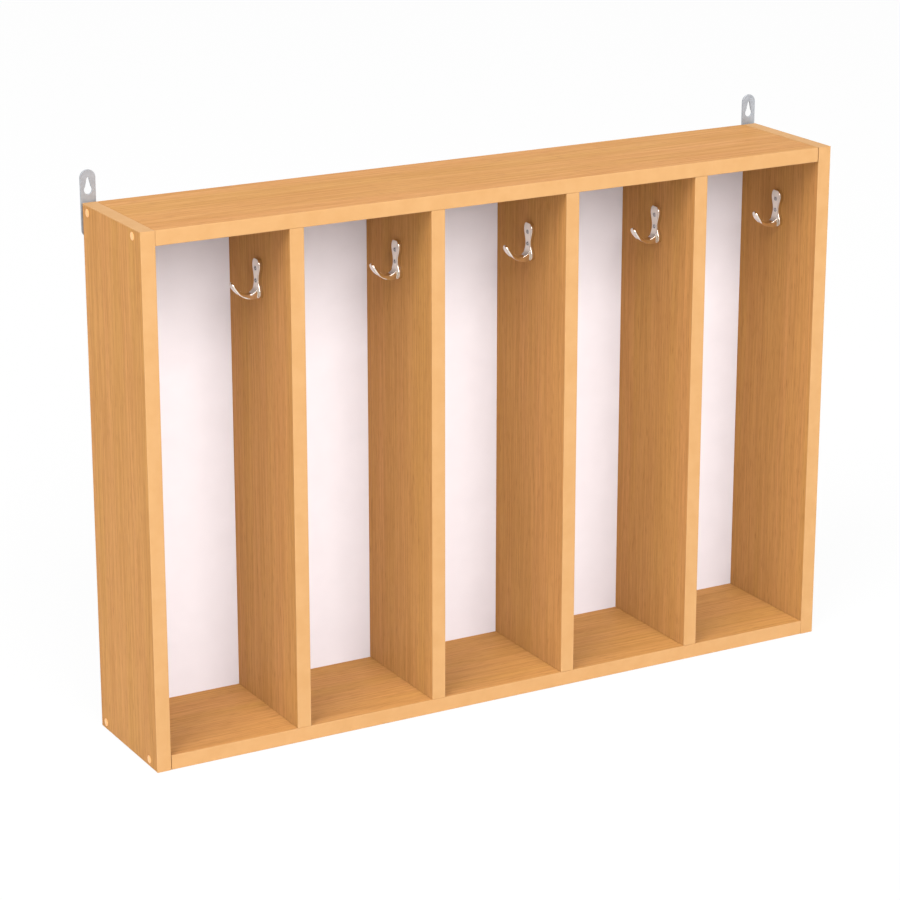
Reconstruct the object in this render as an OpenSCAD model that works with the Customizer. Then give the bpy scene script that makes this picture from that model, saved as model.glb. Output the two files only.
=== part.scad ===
// Wall-hung coat and towel rack: an open cabinet of narrow bays with one hook in each bay.
// Width runs along X, depth along Y with the open front towards -Y, and height along Z.
// The origin is at the middle of the footprint, on the underside. Sizes are in millimetres.

/* [Cabinet] */
// Width across the side panels
cabinet_w = 834; // [600:1:1400]
// Height of the side panels
cabinet_h = 577; // [300:1:900]
// Depth of the boards with their front edging
cabinet_d = 146; // [110:1:300]
// Thickness of the laminated boards
board_t = 16; // [14:0.5:22]
// Number of bays side by side
bay_count = 5; // [2:1:6]

/* [Edging] */
// Thickness of the edging strips
edging_t = 1; // [0.4:0.1:2]
// Rounding along the outer corners of the strips
edging_round = 0.7; // [0.1:0.1:2]

/* [Back panel] */
// Thickness of the hardboard
back_t = 3.2; // [2.5:0.1:6]
// Distance from the cabinet's outline in to the hardboard's edge
back_inset = 2; // [0.5:0.5:5]

/* [Hook plate] */
// Drop from the top panel's underside to the plate's upper end
hook_drop = 46; // [10:1:120]
// Height of the plate
hook_h = 41; // [36:0.5:60]
// Thickness along the plate's middle
hook_t = 4.5; // [3.5:0.1:7]
// Thickness left at the plate's widest edges
hook_edge_t = 3.4; // [1:0.1:3.4]
// Width of the round upper lobe
lobe_w = 16; // [14:0.5:18]
// Width of the waist
waist_w = 10; // [8:0.5:12]
// Drop from the plate's upper end to the waist
waist_drop = 21; // [18:0.5:24]
// Width of the flared foot
foot_w = 19; // [16:0.5:26]
// Rounding of the foot's corners
foot_round = 2.5; // [1:0.1:3.5]

/* [Hook horn] */
// Reach of the horn's tip from the wall that carries it
horn_reach = 33; // [28:0.5:50]
// Distance from that wall to the horn's lowest point
horn_low = 7; // [5:0.5:12]
// Rise from the horn's lowest point to its tip
horn_rise = 18; // [12:0.5:28]
// Height of the horn's lowest centre point above the plate's lower edge
horn_lift = 0.7; // [0:0.1:3]
// Width of the horn at its root
horn_root_w = 14; // [9:0.5:15]
// Width of the horn at its neck
horn_neck_w = 7.5; // [5:0.5:9]
// Width of the leaf at the horn's end
horn_leaf_w = 10.5; // [7:0.5:14]
// Thickness of the horn at its root
horn_root_t = 4.6; // [3:0.1:5.5]
// Rise of the saddle between the horn's root and the plate
horn_saddle = 9; // [2:0.5:10]
// Thickness of the leaf at the horn's end
horn_leaf_t = 3.2; // [2:0.1:5]

/* [Hook screws] */
// Drop from the plate's upper end to the upper screw
hook_screw_drop = 10; // [7:0.5:12]
// Distance between the two screws
hook_screw_pitch = 13; // [10:0.5:16]
// Diameter of the shank
hook_screw_d = 3.5; // [2.5:0.1:4.5]
// Diameter of the countersunk head
hook_head_d = 6.4; // [5.5:0.1:7]
// Board left behind the screw's point
hook_screw_skin = 4; // [2:0.5:8]

/* [Hanger plates] */
// Width of the plate
hanger_w = 17; // [12:0.5:24]
// Thickness of the plate
hanger_t = 2; // [1.8:0.1:4]
// Height of the plate's upper end above the cabinet
hanger_above = 33.5; // [30:0.5:60]
// Diameter of the keyhole's round part
keyhole_d = 9; // [7:0.1:10]
// Height of that round part's centre above the cabinet
keyhole_rise = 12.4; // [8:0.1:14]
// Length of the keyhole's slot above that centre
slot_l = 11.7; // [9:0.1:14]
// Width of the slot where it leaves the round part
slot_low_w = 6.6; // [4:0.1:6.8]
// Width of the slot at its upper end
slot_top_w = 2.6; // [2:0.1:3.8]
// Drop from the furniture screws' axis to the upper screw
hanger_screw_drop = 7; // [6.5:0.5:12]
// Distance between the two screws
hanger_screw_pitch = 14; // [8:0.5:30]
// Distance from the lower screw to the plate's lower end
hanger_foot = 8.5; // [5:0.5:14]
// Diameter of the shank
hanger_screw_d = 3.5; // [3:0.1:4]
// Diameter of the countersunk head
hanger_head_d = 6.8; // [5.5:0.1:7]
// Length of the screw with its head
hanger_screw_l = 25; // [16:1:40]

/* [Furniture screws] */
// Diameter over the threads
joint_screw_d = 5.4; // [5:0.1:7]
// Diameter of the core under the threads
joint_core_d = 3.8; // [3.5:0.1:4.8]
// Diameter of the countersunk head
joint_head_d = 7.6; // [7.2:0.1:8.4]
// Length of the screw with its head
joint_screw_l = 50; // [40:1:70]
// Step from thread to thread
joint_pitch = 3; // [2:0.5:4]
// Distance from the cabinet's front to the front screws
joint_front = 20; // [12:1:30]
// Distance from the boards' rear edge to the rear screws
joint_rear = 12; // [10:1:30]
// Width across the flats of the head's hexagon socket
socket_w = 3; // [2.5:0.1:4]
// Depth of that socket
socket_depth = 3; // [2:0.1:4]

/* [Screw caps] */
// Diameter of the cap
cap_d = 8.6; // [8.5:0.1:16]
// Height of the cap at its crown
cap_t = 1; // [0.7:0.1:2]
// Height of the cap at its rim
cap_rim_t = 0.4; // [0.2:0.1:0.6]
// Gap between the cap's plug and the end of the screw's socket
plug_gap = 0.3; // [0.1:0.1:1]

/* [Dowels] */
// Diameter of the dowels
dowel_d = 8; // [6:0.5:10]
// Depth of a dowel in the divider
dowel_in_divider = 20; // [15:1:40]
// Board left over the end of a dowel's hole
dowel_skin = 4; // [3:0.5:6]
// Room for glue at each end of a dowel
dowel_gap = 0.8; // [0.2:0.1:2]
// Distance from the cabinet's front or rear to the dowels
dowel_inset = 37; // [20:1:45]
// Chamfer on the dowels' ends
dowel_chamfer = 1; // [0.5:0.1:2]

/* [Nails] */
// Diameter of the shank
nail_d = 1.6; // [1:0.1:2.4]
// Length of the shank
nail_l = 20; // [12:1:30]
// Diameter of the flat head
nail_head_d = 4; // [3:0.1:5]
// Thickness of the flat head
nail_head_t = 0.8; // [0.4:0.1:1.2]
// Longest step between nails along a board
nail_step = 130; // [60:5:250]
// Distance from the end of a row of nails to the next joint
nail_margin = 30; // [20:1:60]

/* [Hidden] */

$fn = 48;
LEFT = -1;
RIGHT = 1;
over = 1;

beech = [0.84, 0.61, 0.36];
beech_edge = [0.96, 0.74, 0.48];
hardboard_white = [0.96, 0.94, 0.92];
chrome = [0.88, 0.88, 0.9];
zinc = [0.72, 0.72, 0.72];
dowel_wood = [0.87, 0.74, 0.55];

// Planes of the cabinet, from the front to the wall
front_y = -(cabinet_d + back_t + hanger_t) / 2;
core_front_y = front_y + edging_t;
rear_y = front_y + cabinet_d;
back_y = rear_y + back_t;
wall_y = back_y + hanger_t;
core_d = cabinet_d - edging_t;

// Bays and the boards between them
inner_w = cabinet_w - 2 * board_t;
inner_h = cabinet_h - 2 * board_t;
bay_w = (inner_w - (bay_count - 1) * board_t) / bay_count;
bay_step = bay_w + board_t;
function divider_x(i) = -inner_w / 2 + i * bay_step - board_t / 2;
function side_x(side) = side * (cabinet_w - board_t) / 2;
function bay_x(i) = -inner_w / 2 + (i - 0.5) * bay_w + (i - 1) * board_t;
function hook_wall_x(i) = bay_x(i) + bay_w / 2;

// Heights of the joints between the boards
low_joint_z = board_t / 2;
high_joint_z = cabinet_h - board_t / 2;
joint_ys = [front_y + joint_front, rear_y - joint_rear];
dowel_ys = [front_y + dowel_inset, rear_y - dowel_inset];
dowel_in_panel = board_t - dowel_skin;

// The hook's place on its wall
hook_y = (front_y + rear_y) / 2;
hook_top_z = cabinet_h - board_t - hook_drop;
hook_screw_zs = [-hook_screw_drop, -hook_screw_drop - hook_screw_pitch];
hook_screw_l = hook_t + board_t - hook_screw_skin;
hanger_screw_zs = [high_joint_z - hanger_screw_drop, high_joint_z - hanger_screw_drop - hanger_screw_pitch];
hanger_below = cabinet_h - hanger_screw_zs[1] + hanger_foot;

// Evenly spaced places from a to b, no further apart than the step
function spread(a, b, step) =
    let (n = max(1, ceil((b - a) / step)))
    [for (i = [0 : n]) a + (b - a) * i / n];

// Points along an arc
function arc(centre, r, from, to, steps) =
    [for (i = [0 : steps]) let (a = from + (to - from) * i / steps) centre + r * [cos(a), sin(a)]];

// Smooth change from a to b as t goes from 0 to 1
function blend(a, b, t) = a + (b - a) * t * t * (3 - 2 * t);

// Turns Z into the outward direction of a side panel
module facing_side(side) {
    rotate([0, side * 90, 0])
        children();
}

// Turns Z into the direction of the wall behind the cabinet
module facing_wall() {
    rotate([-90, 0, 0])
        children();
}

// Boards
// Furniture screws stand at the four corners of each side panel.
module at_joint_screws(side) {
    for (y = joint_ys)
        for (z = [low_joint_z, high_joint_z])
            translate([side * cabinet_w / 2, y, z])
                facing_side(side)
                    children();
}

// Nails into the side panels stop short of the hanger plates.
side_nail_zs = spread(nail_margin, cabinet_h - hanger_below - nail_margin, nail_step);
divider_nail_zs = spread(board_t + nail_margin, cabinet_h - board_t - nail_margin, nail_step);

module at_side_nails(side) {
    for (z = side_nail_zs)
        translate([side_x(side), back_y, z])
            facing_wall()
                children();
}

module at_divider_nails(i) {
    for (z = divider_nail_zs)
        translate([divider_x(i), back_y, z])
            facing_wall()
                children();
}

module at_panel_nails(z) {
    for (i = [1 : bay_count])
        translate([bay_x(i), back_y, z])
            facing_wall()
                children();
}

module at_hanger_screws(side) {
    for (z = hanger_screw_zs)
        translate([side_x(side), wall_y, z])
            facing_wall()
                children();
}

module at_hook_screws(i) {
    for (z = hook_screw_zs)
        translate([hook_wall_x(i) - hook_t, hook_y, hook_top_z + z])
            facing_side(LEFT)
                children();
}

module at_dowels(i) {
    for (y = dowel_ys) {
        translate([divider_x(i), y, board_t])
            children();
        translate([divider_x(i), y, cabinet_h - board_t])
            mirror([0, 0, 1])
                children();
    }
}

module nail_hole() {
    translate([0, 0, -nail_l])
        cylinder(h = nail_l + over, d = nail_d);
}

module screw_hole(d, l) {
    translate([0, 0, -l])
        cylinder(h = l + over, d = d);
}

module joint_screw_hole() {
    screw_hole(joint_screw_d, joint_screw_l);
    countersink(joint_screw_d, joint_head_d);
}

// Cone under a countersunk head whose flat top lies at height 0
module countersink(d, head_d) {
    translate([0, 0, -(head_d - d) / 2])
        cylinder(h = (head_d - d) / 2, d1 = d, d2 = head_d);
}

module dowel_hole() {
    translate([0, 0, -dowel_in_panel])
        cylinder(h = dowel_in_panel + dowel_in_divider, d = dowel_d);
}

module side_panel(side) {
    color(beech)
        difference() {
            translate([side_x(side) - board_t / 2, core_front_y, edging_t])
                cube([board_t, core_d, cabinet_h - 2 * edging_t]);
            at_joint_screws(side)
                joint_screw_hole();
            at_side_nails(side)
                nail_hole();
            at_hanger_screws(side)
                screw_hole(hanger_screw_d, hanger_screw_l);
            if (side == RIGHT)
                at_hook_screws(bay_count)
                    screw_hole(hook_screw_d, hook_screw_l);
        }
}

// Top or bottom panel, centred at the height z
module cross_panel(z) {
    color(beech)
        difference() {
            translate([-inner_w / 2, core_front_y, z - board_t / 2])
                cube([inner_w, core_d, board_t]);
            for (side = [LEFT, RIGHT])
                at_joint_screws(side)
                    screw_hole(joint_screw_d, joint_screw_l);
            for (i = [1 : bay_count - 1])
                at_dowels(i)
                    dowel_hole();
            at_panel_nails(z)
                nail_hole();
        }
}

module divider(i) {
    color(beech)
        difference() {
            translate([divider_x(i) - board_t / 2, core_front_y, board_t])
                cube([board_t, core_d, inner_h]);
            at_dowels(i)
                dowel_hole();
            at_divider_nails(i)
                nail_hole();
            at_hook_screws(i)
                screw_hole(hook_screw_d, hook_screw_l);
        }
}

module back_panel() {
    color(hardboard_white)
        difference() {
            translate([-cabinet_w / 2 + back_inset, rear_y, back_inset])
                cube([cabinet_w - 2 * back_inset, back_t, cabinet_h - 2 * back_inset]);
            for (side = [LEFT, RIGHT]) {
                at_side_nails(side)
                    nail_hole();
                at_hanger_screws(side)
                    screw_hole(hanger_screw_d, hanger_screw_l);
            }
            for (z = [low_joint_z, high_joint_z])
                at_panel_nails(z)
                    nail_hole();
            for (i = [1 : bay_count - 1])
                at_divider_nails(i)
                    nail_hole();
        }
}

// Edging
// A strip as wide as the board, with its glued face at y = edging_t and its outer corners rounded
module edging_strip(l) {
    r = min(edging_round, edging_t);
    color(beech_edge)
        linear_extrude(l)
            difference() {
                translate([-board_t / 2, 0])
                    square([board_t, edging_t]);
                for (s = [LEFT, RIGHT])
                    difference() {
                        translate([s * board_t / 2, 0])
                            square(2 * r, center = true);
                        translate([s * (board_t / 2 - r), r])
                            circle(r);
                    }
            }
}

module side_front_edging(side) {
    translate([side_x(side), front_y, 0])
        edging_strip(cabinet_h);
}

module side_top_edging(side) {
    translate([side_x(side), core_front_y, cabinet_h])
        rotate([-90, 0, 0])
            edging_strip(core_d);
}

module side_bottom_edging(side) {
    translate([side_x(side), rear_y, 0])
        rotate([90, 0, 0])
            edging_strip(core_d);
}

module cross_panel_edging(z) {
    translate([-inner_w / 2, front_y, z])
        rotate([0, 90, 0])
            edging_strip(inner_w);
}

module divider_edging(i) {
    translate([divider_x(i), front_y, board_t])
        edging_strip(inner_h);
}

// Hooks
// The plate's outline lies in a plane with its upper end at the origin: a round lobe, a waist that
// is tangent to the lobe, and a flared foot with rounded corners.
lobe_r = lobe_w / 2;
waist_r = waist_w / 2;
foot_r = foot_w / 2;
upper_waist_drop = waist_drop - lobe_r;
upper_waist_r = (waist_r ^ 2 + upper_waist_drop ^ 2 - lobe_r ^ 2) / (lobe_w - waist_w);
lobe_end = atan2(upper_waist_drop, waist_r + upper_waist_r);
flare_drop = hook_h - foot_round - waist_drop;
flare_r = (flare_drop ^ 2 + (foot_r - waist_r) ^ 2) / (foot_w - waist_w);
flare_end = asin(flare_drop / flare_r);

function hook_outline_right() = concat(
    arc([0, -lobe_r], lobe_r, 90, -lobe_end, 12),
    arc([waist_r + upper_waist_r, -waist_drop], upper_waist_r, 180 - lobe_end, 180, 5),
    arc([waist_r + flare_r, -waist_drop], flare_r, 180, 180 + flare_end, 6),
    arc([foot_r - foot_round, -hook_h + foot_round], foot_round, 0, -90, 5)
);

module hook_plate() {
    right = hook_outline_right();
    last = len(right) - 1;
    left = [for (i = [0 : last]) [-right[last - i][0], right[last - i][1]]];
    widest = max(foot_r, lobe_r);
    crown = hook_t - hook_edge_t;
    dome_r = (widest ^ 2 + crown ^ 2) / (2 * crown);
    intersection() {
        linear_extrude(hook_t)
            polygon(concat(right, left));
        translate([0, over, hook_t - dome_r])
            rotate([90, 0, 0])
                cylinder(h = hook_h + 2 * over, r = dome_r, $fn = 180);
    }
}

// Each screw's hole, its countersink and the way to it past the saddle
module hook_screw_cuts() {
    for (z = hook_screw_zs)
        translate([0, z, hook_t]) {
            screw_hole(hook_screw_d, hook_t + over);
            countersink(hook_screw_d, hook_head_d);
            cylinder(h = horn_low, d = hook_head_d);
        }
}

// The horn follows one arc from inside the foot to its tip. A saddle carries it at the plate, it
// narrows to a neck, widens to a flat leaf and ends round.
horn_start = 1.5;
neck_at = 0.4;
leaf_at = 0.78;
tip_end = 0.98;
side_power = 0.75;
horn_rings = 20;
horn_sides = 16;
horn_run = horn_reach - horn_low;
horn_tip_angle = 2 * atan(horn_rise / horn_run);
horn_r = horn_run / sin(horn_tip_angle);
horn_start_angle = -asin((horn_low - horn_start) / horn_r);
horn_low_z = horn_lift - hook_h;

function tip_rounding(s) = s < leaf_at ? 1 : sqrt(1 - (tip_end * (s - leaf_at) / (1 - leaf_at)) ^ 2);
function horn_w(s) =
    s < neck_at ? blend(horn_root_w, horn_neck_w, s / neck_at)
        : blend(horn_neck_w, horn_leaf_w, min(1, (s - neck_at) / (leaf_at - neck_at)));
function saddle(s) = horn_saddle * max(0, 1 - s / neck_at) ^ 1.5;
// Makes a round section flatter on its sides
function flattened(v) = sign(v) * abs(v) ^ side_power;
function horn_ring(s) =
    let (
        turn = horn_start_angle + (horn_tip_angle - horn_start_angle) * s,
        lean = max(0, turn),
        half_w = horn_w(s) / 2 * tip_rounding(s),
        half_t = blend(horn_root_t, horn_leaf_t, s) / 2 * tip_rounding(s)
    )
    [for (k = [0 : horn_sides - 1])
        let (
            a = 360 * k / horn_sides,
            lift = flattened(sin(a)) * (sin(a) > 0 ? half_t + saddle(s) : half_t)
        )
        [
            half_w * flattened(cos(a)),
            horn_low_z + horn_r * (1 - cos(turn)) + lift * cos(lean),
            horn_low + horn_r * sin(turn) - lift * sin(lean)
        ]];

module hook_horn() {
    points = [for (i = [0 : horn_rings]) each horn_ring(i / horn_rings)];
    first_cap = [[for (k = [0 : horn_sides - 1]) k]];
    last_cap = [[for (k = [0 : horn_sides - 1]) (horn_rings + 1) * horn_sides - 1 - k]];
    walls = [for (i = [0 : horn_rings - 1]) for (k = [0 : horn_sides - 1])
        let (a = i * horn_sides, b = a + horn_sides, n = (k + 1) % horn_sides)
        each [[a + k, b + k, b + n], [a + k, b + n, a + n]]];
    polyhedron(points, concat(first_cap, last_cap, walls));
}

module hook(i) {
    color(chrome)
        translate([hook_wall_x(i), hook_y, hook_top_z])
            rotate([90, 0, -90])
                difference() {
                    union() {
                        hook_plate();
                        hook_horn();
                    }
                    hook_screw_cuts();
                }
}

// Fasteners
// The cross recess: its span and slot as shares of the head's diameter, its depth as one of the
// head's height.
recess_span = 0.6;
recess_slot = 0.16;
recess_sink = 0.6;

// Countersunk screw with a cross recess, its flat top at height 0 and its point downwards
module cross_screw(d, head_d, l) {
    head_l = (head_d - d) / 2;
    point_l = d;
    recess_l = recess_span * head_d;
    recess_w = recess_slot * head_d;
    recess_depth = recess_sink * head_l;
    difference() {
        union() {
            countersink(d, head_d);
            translate([0, 0, point_l - l])
                cylinder(h = l - point_l - head_l, d = d);
            translate([0, 0, -l])
                cylinder(h = point_l, d1 = 0, d2 = d);
        }
        for (turn = [45, 135])
            rotate([0, 0, turn])
                translate([-recess_l / 2, -recess_w / 2, -recess_depth])
                    cube([recess_l, recess_w, recess_depth + over]);
    }
}

module hook_screws() {
    color(zinc)
        for (i = [1 : bay_count])
            at_hook_screws(i)
                cross_screw(hook_screw_d, hook_head_d, hook_screw_l);
}

module hanger_screws() {
    color(zinc)
        for (side = [LEFT, RIGHT])
            at_hanger_screws(side)
                cross_screw(hanger_screw_d, hanger_head_d, hanger_screw_l);
}

// Flat steel plate with round ends, a keyhole above the cabinet and two countersunk holes
module hanger_plate(side) {
    end_r = hanger_w / 2;
    slot_low = keyhole_rise + sqrt(keyhole_d ^ 2 - slot_low_w ^ 2) / 2;
    slot_end = keyhole_rise + slot_l;
    // The slot's slanted sides run on into the round part
    slot_foot = (keyhole_rise + slot_low) / 2;
    slot_taper = (slot_low_w - slot_top_w) / (slot_end - slot_low);
    slot_foot_w = slot_low_w + slot_taper * (slot_low - slot_foot);
    color(zinc)
        difference() {
            translate([side_x(side), wall_y, cabinet_h])
                rotate([90, 0, 0])
                    linear_extrude(hanger_t)
                        difference() {
                            union() {
                                translate([-end_r, end_r - hanger_below])
                                    square([hanger_w, hanger_above + hanger_below - hanger_w]);
                                for (z = [end_r - hanger_below, hanger_above - end_r])
                                    translate([0, z])
                                        circle(end_r);
                            }
                            translate([0, keyhole_rise])
                                circle(d = keyhole_d);
                            polygon([
                                [-slot_foot_w / 2, slot_foot],
                                [slot_foot_w / 2, slot_foot],
                                [slot_top_w / 2, slot_end],
                                [-slot_top_w / 2, slot_end]
                            ]);
                            translate([0, slot_end])
                                circle(d = slot_top_w);
                        }
            at_hanger_screws(side) {
                screw_hole(hanger_screw_d, hanger_t + over);
                countersink(hanger_screw_d, hanger_head_d);
            }
        }
}

// Countersunk furniture screw with a hexagon socket and a ridged shank
module furniture_screw() {
    head_l = (joint_head_d - joint_screw_d) / 2;
    crest = joint_pitch / 5;
    thread_count = floor((joint_screw_l - board_t - joint_core_d / 2) / joint_pitch);
    thread_end = -board_t - thread_count * joint_pitch;
    ridges = [for (i = [0 : thread_count - 1])
        let (z = -board_t - i * joint_pitch)
        each [
            [joint_core_d / 2, z - joint_pitch / 4],
            [joint_screw_d / 2, z - (joint_pitch - crest) / 2],
            [joint_screw_d / 2, z - (joint_pitch + crest) / 2],
            [joint_core_d / 2, z - 3 * joint_pitch / 4]
        ]];
    profile = concat(
        [[0, 0], [joint_head_d / 2, 0], [joint_screw_d / 2, -head_l], [joint_screw_d / 2, -board_t]],
        ridges,
        [[joint_core_d / 2, thread_end], [0, -joint_screw_l]]
    );
    difference() {
        rotate_extrude()
            polygon(profile);
        translate([0, 0, -socket_depth])
            cylinder(h = socket_depth + over, d = socket_w / cos(30), $fn = 6);
    }
}

module furniture_screws() {
    color(zinc)
        for (side = [LEFT, RIGHT])
            at_joint_screws(side)
                furniture_screw();
}

// Low round cap with a hexagon plug that grips the screw's socket
module screw_cap() {
    crown = cap_t - cap_rim_t;
    dome_r = ((cap_d / 2) ^ 2 + crown ^ 2) / (2 * crown);
    intersection() {
        cylinder(h = cap_t, d = cap_d);
        translate([0, 0, cap_t - dome_r])
            sphere(dome_r, $fn = 180);
    }
    translate([0, 0, plug_gap - socket_depth])
        cylinder(h = socket_depth - plug_gap, d = socket_w / cos(30), $fn = 6);
}

module screw_caps() {
    color(beech_edge)
        for (side = [LEFT, RIGHT])
            at_joint_screws(side)
                screw_cap();
}

// Dowel with chamfered ends, standing half in the panel and half in the divider
module dowel() {
    r = dowel_d / 2;
    low = dowel_gap - dowel_in_panel;
    high = dowel_in_divider - dowel_gap;
    rotate_extrude()
        polygon([
            [0, low],
            [r - dowel_chamfer, low],
            [r, low + dowel_chamfer],
            [r, high - dowel_chamfer],
            [r - dowel_chamfer, high],
            [0, high]
        ]);
}

module divider_dowels() {
    color(dowel_wood)
        for (i = [1 : bay_count - 1])
            at_dowels(i)
                dowel();
}

// Wire nail with a flat head on the hardboard
module nail() {
    point_l = nail_d;
    cylinder(h = nail_head_t, d = nail_head_d);
    translate([0, 0, point_l - nail_l])
        cylinder(h = nail_l - point_l, d = nail_d);
    translate([0, 0, -nail_l])
        cylinder(h = point_l, d1 = 0, d2 = nail_d);
}

module back_panel_nails() {
    color(zinc) {
        for (side = [LEFT, RIGHT])
            at_side_nails(side)
                nail();
        for (z = [low_joint_z, high_joint_z])
            at_panel_nails(z)
                nail();
        for (i = [1 : bay_count - 1])
            at_divider_nails(i)
                nail();
    }
}

side_panel(LEFT);  // left_side_panel
side_panel(RIGHT);  // right_side_panel
cross_panel(high_joint_z);  // top_panel
cross_panel(low_joint_z);  // bottom_panel
for (i = [1 : bay_count - 1])
    divider(i);
back_panel();
side_front_edging(LEFT);  // left_side_front_edging
side_top_edging(LEFT);  // left_side_top_edging
side_bottom_edging(LEFT);  // left_side_bottom_edging
side_front_edging(RIGHT);  // right_side_front_edging
side_top_edging(RIGHT);  // right_side_top_edging
side_bottom_edging(RIGHT);  // right_side_bottom_edging
cross_panel_edging(high_joint_z);  // top_panel_edging
cross_panel_edging(low_joint_z);  // bottom_panel_edging
for (i = [1 : bay_count - 1])
    divider_edging(i);
for (i = [1 : bay_count])
    hook(i);
hook_screws();
hanger_plate(LEFT);  // left_hanger_plate
hanger_plate(RIGHT);  // right_hanger_plate
hanger_screws();
furniture_screws();
screw_caps();
divider_dowels();
back_panel_nails();
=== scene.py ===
# %% [markdown]
# # A wall-hung coat rack with five bays
# The rack hangs in a cloakroom: five open bays of beech-look board, one chrome hook in each bay,
# a white back and two steel plates that hang it on the wall. The exact solids come from the CAD
# model. This lesson dresses them: it models each piece with the small rounded edges and recesses
# that catch light, and builds its finish from shader nodes.

# %% [markdown]
# ## The frame comes first
# The CAD model is loaded as a fixed frame and is never moved. Each new piece reads its place from
# the box of the CAD node that it stands for, so nothing has to be fitted by eye.

import math

import bmesh
import bpy
from mathutils import Matrix, Vector


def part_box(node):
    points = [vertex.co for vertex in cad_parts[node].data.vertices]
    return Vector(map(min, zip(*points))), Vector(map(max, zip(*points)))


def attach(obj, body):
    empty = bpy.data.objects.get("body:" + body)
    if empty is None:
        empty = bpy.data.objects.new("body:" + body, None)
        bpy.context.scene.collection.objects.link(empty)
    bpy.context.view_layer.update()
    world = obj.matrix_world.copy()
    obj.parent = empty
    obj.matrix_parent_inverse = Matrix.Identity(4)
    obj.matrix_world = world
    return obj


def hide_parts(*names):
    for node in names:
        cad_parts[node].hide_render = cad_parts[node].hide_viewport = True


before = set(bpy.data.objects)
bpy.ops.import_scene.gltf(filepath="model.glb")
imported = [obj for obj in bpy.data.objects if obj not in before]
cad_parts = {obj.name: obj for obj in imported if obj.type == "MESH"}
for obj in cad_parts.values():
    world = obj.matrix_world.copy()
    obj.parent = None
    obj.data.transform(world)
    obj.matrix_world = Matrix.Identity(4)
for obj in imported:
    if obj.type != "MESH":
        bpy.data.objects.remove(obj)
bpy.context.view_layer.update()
scene = bpy.context.scene
MM = 0.001

# %% [markdown]
# ## The camera
# The photograph looks down at the rack from the left with a long lens. A camera can be aimed by
# typing three angles, but it is easier to say where it stands and which point it looks at: the
# direction between the two then gives the rotation. The point lies on the front of the rack, a
# little left of its middle.

# %% Aim the camera
camera_data = bpy.data.cameras.new("photo_camera")
camera_data.sensor_width = 36.0
camera_data.lens = 120.34
camera_data.clip_end = 50.0
camera = bpy.data.objects.new("photo_camera", camera_data)
scene.collection.objects.link(camera)

camera_stand = Vector((-1.5600, -2.7354, 1.2713))
camera_target = Vector((-0.0682, -0.0756, 0.2983))
sight = camera_target - camera_stand
camera.location = camera_stand
camera.rotation_euler = sight.to_track_quat("-Z", "Y").to_euler()
scene.camera = camera
scene.view_settings.view_transform = "Standard"
print("camera distance in m:", round(sight.length, 3))

# %% [markdown]
# ## The studio
# The photograph has a pure white ground and no hard shadow, as in a light tent. A white floor
# would only look white under more light than the wood can take, so the camera is shown a white
# that is mixed into the floor by the Light Path node, and the rest of the floor stays an ordinary
# pale surface that still takes a faint shadow. Metal has to see the same white, so reflected rays
# count as camera rays here.

# %% Helpers for node trees
def srgb(red, green, blue):
    """A screen colour, from 0 to 255, as the linear colour that a shader expects."""
    parts = [part / 255 for part in (red, green, blue)]
    linear = [part / 12.92 if part <= 0.04045 else ((part + 0.055) / 1.055) ** 2.4 for part in parts]
    return (*linear, 1.0)


def feed(tree, value, socket):
    """Link a socket to another one, or write a plain value on it."""
    if isinstance(value, bpy.types.NodeSocket):
        tree.links.new(value, socket)
    else:
        socket.default_value = value


def add_math(tree, operation, first, second):
    node = tree.nodes.new("ShaderNodeMath")
    node.operation = operation
    feed(tree, first, node.inputs[0])
    feed(tree, second, node.inputs[1])
    return node.outputs["Value"]


def seen_directly(tree):
    """1 for rays from the camera, from a mirror or through glass, and 0 for all others."""
    rays = tree.nodes.new("ShaderNodeLightPath").outputs
    mirror_or_glass = add_math(tree, "MAXIMUM", rays["Is Glossy Ray"], rays["Is Transmission Ray"])
    return add_math(tree, "MAXIMUM", rays["Is Camera Ray"], mirror_or_glass)


# %% Floor and world
FLOOR_SIZE = 40.0
FLOOR_DROP = 0.2 * MM
FLOOR_WHITE = 0.9
SHOWN_WHITE = 0.92
AMBIENT = 0.3

floor_shape = bmesh.new()
bmesh.ops.create_grid(floor_shape, x_segments=1, y_segments=1, size=FLOOR_SIZE / 2)
bmesh.ops.translate(floor_shape, vec=(0, 0, -FLOOR_DROP), verts=floor_shape.verts)
floor_mesh = bpy.data.meshes.new("studio_floor")
floor_shape.to_mesh(floor_mesh)
floor_shape.free()
floor = bpy.data.objects.new("studio_floor", floor_mesh)
scene.collection.objects.link(floor)

floor_paint = bpy.data.materials.new("studio_floor")
floor_paint.use_nodes = True
tree = floor_paint.node_tree
tree.nodes.clear()
matt = tree.nodes.new("ShaderNodeBsdfDiffuse")
matt.inputs["Color"].default_value = (FLOOR_WHITE, FLOOR_WHITE, FLOOR_WHITE, 1.0)
glow = tree.nodes.new("ShaderNodeEmission")
shown = tree.nodes.new("ShaderNodeMixShader")
tree.links.new(add_math(tree, "MULTIPLY", seen_directly(tree), SHOWN_WHITE), shown.inputs["Fac"])
tree.links.new(matt.outputs["BSDF"], shown.inputs[1])
tree.links.new(glow.outputs["Emission"], shown.inputs[2])
tree.links.new(shown.outputs["Shader"], tree.nodes.new("ShaderNodeOutputMaterial").inputs["Surface"])
floor_mesh.materials.append(floor_paint)

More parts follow.
